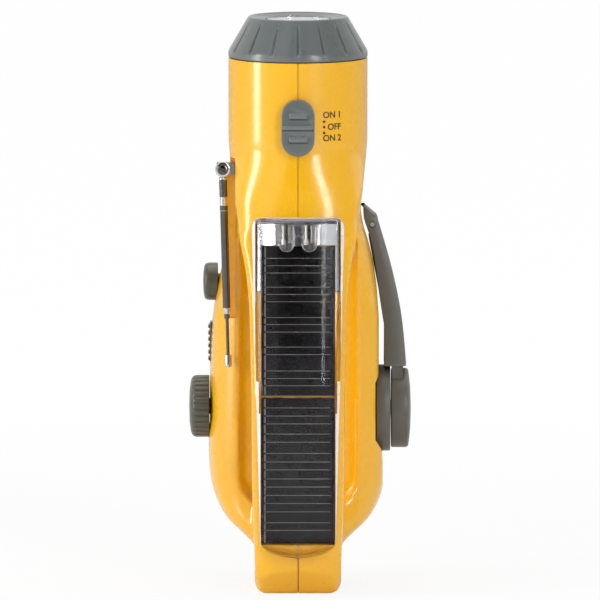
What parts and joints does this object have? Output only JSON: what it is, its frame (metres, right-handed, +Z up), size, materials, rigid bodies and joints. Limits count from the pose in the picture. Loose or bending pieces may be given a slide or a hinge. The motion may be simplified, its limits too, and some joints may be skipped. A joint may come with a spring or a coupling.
{
  "type": "hand crank flashlight",
  "caption": "Upright hand crank torch with radio: round lamp head, closed carrying handle with solar panels, folding crank, knobs and telescopic antenna.",
  "frame": {"origin": "middle of the outline on the surface that the torch stands on", "axes": "+Z up along the torch to the lens, +X towards the crank, -Y the side that the handle and its solar panels face"},
  "size_m": [0.0838, 0.086, 0.2155],
  "materials": {
    "yellow_housing": "moulded shell, satin to gloss",
    "grey_trim": "fine moulded grain",
    "dark_plastic": "fine moulded grain",
    "knob_plastic": "fine moulded grain",
    "black_plastic": "plain moulding",
    "cream_plastic": "plain moulding",
    "clear_plastic": "clear polished plastic",
    "silvered_plastic": "vacuum silvered",
    "solar_cell": "cells under clear resin",
    "seal_rubber": "matt",
    "circuit_board": "lacquered board",
    "lamp_body": "clear resin lens",
    "signal_lamp_body": "clear resin lens",
    "speaker_metal": "pressed basket",
    "ferrite": "fired ceramic",
    "cell_can": "printed sleeve",
    "chrome_tube": "polished",
    "steel": "plain",
    "bush_brass": "turned",
    "copper_coil": "enamelled winding"
  },
  "bodies": {
    "housing": {"left_housing": "yellow_housing", "right_housing": "yellow_housing", "speaker_grille": "dark_plastic", "speaker": "speaker_metal", "head_bezel": "grey_trim", "lens_seal": "seal_rubber", "front_lens": "clear_plastic", "main_reflector": "silvered_plastic", "lamp_board": "circuit_board", "main_lamp": "lamp_body", "light_switch_body": "black_plastic", "panel_cover": "clear_plastic", "solar_panel_upper": "solar_cell", "solar_panel_lower": "solar_cell", "lamp_tray": "silvered_plastic", "signal_lamp_left": "signal_lamp_body", "signal_lamp_right": "signal_lamp_body", "tuning_capacitor": "cream_plastic", "volume_potentiometer": "black_plastic", "band_switch_body": "black_plastic", "radio_board": "circuit_board", "ferrite_rod": "ferrite", "ferrite_holder": "black_plastic", "battery_cell_1": "cell_can", "battery_cell_2": "cell_can", "battery_cell_3": "cell_can", "battery_tray": "black_plastic", "antenna_bracket": "steel", "antenna_screw": "chrome_tube", "crank_bush": "bush_brass", "transfer_axle": "steel", "gear_plate": "black_plastic", "generator_can": "steel", "generator_coil": "copper_coil", "housing_screw_1": "steel", "housing_screw_2": "steel", "housing_screw_3": "steel", "housing_screw_4": "steel"},
    "crank": {"crank_arm": "dark_plastic", "crank_cap": "dark_plastic", "crank_flange": "dark_plastic", "crank_shaft": "steel", "crank_screw": "steel", "grip_pin": "steel", "drive_gear": "cream_plastic"},
    "transfer": {"transfer_gear": "cream_plastic"},
    "rotor": {"generator_rotor": "steel"},
    "grip_arm": {"grip_spindle": "steel"},
    "grip": {"crank_grip": "dark_plastic"},
    "light_switch": {"light_switch_button": "grey_trim"},
    "band_switch": {"band_switch_button": "knob_plastic"},
    "tuning": {"tuning_knob": "knob_plastic"},
    "volume": {"volume_knob": "knob_plastic"},
    "mast": {"antenna_swivel": "chrome_tube", "antenna_outer_tube": "chrome_tube"},
    "mast_sleeve": {"antenna_sleeve": "chrome_tube"},
    "mast_rod": {"antenna_rod": "chrome_tube", "antenna_tip": "chrome_tube"}
  },
  "joints": [
    {"name": "crank_spin", "type": "hinge", "parent": "housing", "child": "crank", "pos_m": [0.03425, 0.014, 0.0658], "axis": [1, 0, 0], "continuous": true},
    {"name": "transfer_gear_spin", "type": "hinge", "parent": "housing", "child": "transfer", "pos_m": [0.01725, 0.014, 0.0865], "axis": [1, 0, 0], "continuous": true},
    {"name": "rotor_spin", "type": "hinge", "parent": "housing", "child": "rotor", "pos_m": [0.00325, 0.014, 0.1025], "axis": [1, 0, 0], "continuous": true},
    {"name": "grip_fold", "type": "hinge", "parent": "crank", "child": "grip_arm", "pos_m": [0.02725, 0.014, 0.136], "axis": [0, -1, 0], "range_deg": [0, 77.6]},
    {"name": "grip_spin", "type": "hinge", "parent": "grip_arm", "child": "grip", "pos_m": [0.02725, 0.014, 0.136], "axis": [-0.2147, 0, 0.9767], "continuous": true},
    {"name": "light_switch_slide", "type": "slide", "parent": "housing", "child": "light_switch", "axis": [0, 0, 1], "range_m": [-0.0022, 0.0022]},
    {"name": "band_switch_slide", "type": "slide", "parent": "housing", "child": "band_switch", "axis": [0, 0, 1], "range_m": [0, 0.003]},
    {"name": "tuning_knob_turn", "type": "hinge", "parent": "housing", "child": "tuning", "pos_m": [-0.03775, 0.014, 0.0664], "axis": [-1, 0, 0], "range_deg": [-90, 90]},
    {"name": "volume_knob_turn", "type": "hinge", "parent": "housing", "child": "volume", "pos_m": [-0.03375, 0.014, 0.1138], "axis": [-1, 0, 0], "range_deg": [0, 280]},
    {"name": "antenna_swing", "type": "hinge", "parent": "housing", "child": "mast", "pos_m": [-0.02895, -0.0086, 0.1586], "axis": [0, 1, 0], "range_deg": [0, 175]},
    {"name": "antenna_sleeve_slide", "type": "slide", "parent": "mast", "child": "mast_sleeve", "axis": [0.0279, 0, -0.9996], "range_m": [0, 0.04]},
    {"name": "antenna_rod_slide", "type": "slide", "parent": "mast_sleeve", "child": "mast_rod", "axis": [0.0279, 0, -0.9996], "range_m": [0, 0.042]}
  ],
  "couplings": [
    {"joint": "transfer_gear_spin", "follows": "crank_spin", "ratio": -3.6},
    {"joint": "rotor_spin", "follows": "crank_spin", "ratio": 10.8}
  ]
}
